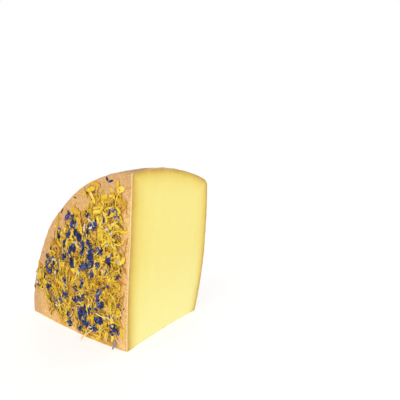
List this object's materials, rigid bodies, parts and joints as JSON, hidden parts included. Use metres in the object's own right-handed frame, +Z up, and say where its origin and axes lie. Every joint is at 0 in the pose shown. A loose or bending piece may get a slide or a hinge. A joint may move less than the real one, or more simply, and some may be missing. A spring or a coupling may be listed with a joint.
{
  "type": "cheese wedge",
  "caption": "Quarter of a semi-hard cheese wheel with a washed rind strewn with dried petals, standing on one cut face.",
  "frame": {"origin": "on the table, below the middle of the piece's bounding box", "axes": "+Z up; the wheel's axle lies along Y and the flower-coated face seen in use looks along -Y; the upright cut face looks along +X"},
  "size_m": [0.1585, 0.105, 0.1475],
  "materials": {
    "rind": "dry washed rind, fine grained, orange to tan with a pale bloom",
    "paste": "smooth knife-cut cheese, pale butter yellow, ochre under the rind",
    "marigold_petals": "dried yellow petals, matt and papery",
    "cornflower_petals": "dried blue petals, matt and papery",
    "herb_scraps": "dried flower bases and bleached petal scraps, matt"
  },
  "bodies": {
    "root": {"cheese_wedge": "rind"}
  },
  "joints": []
}
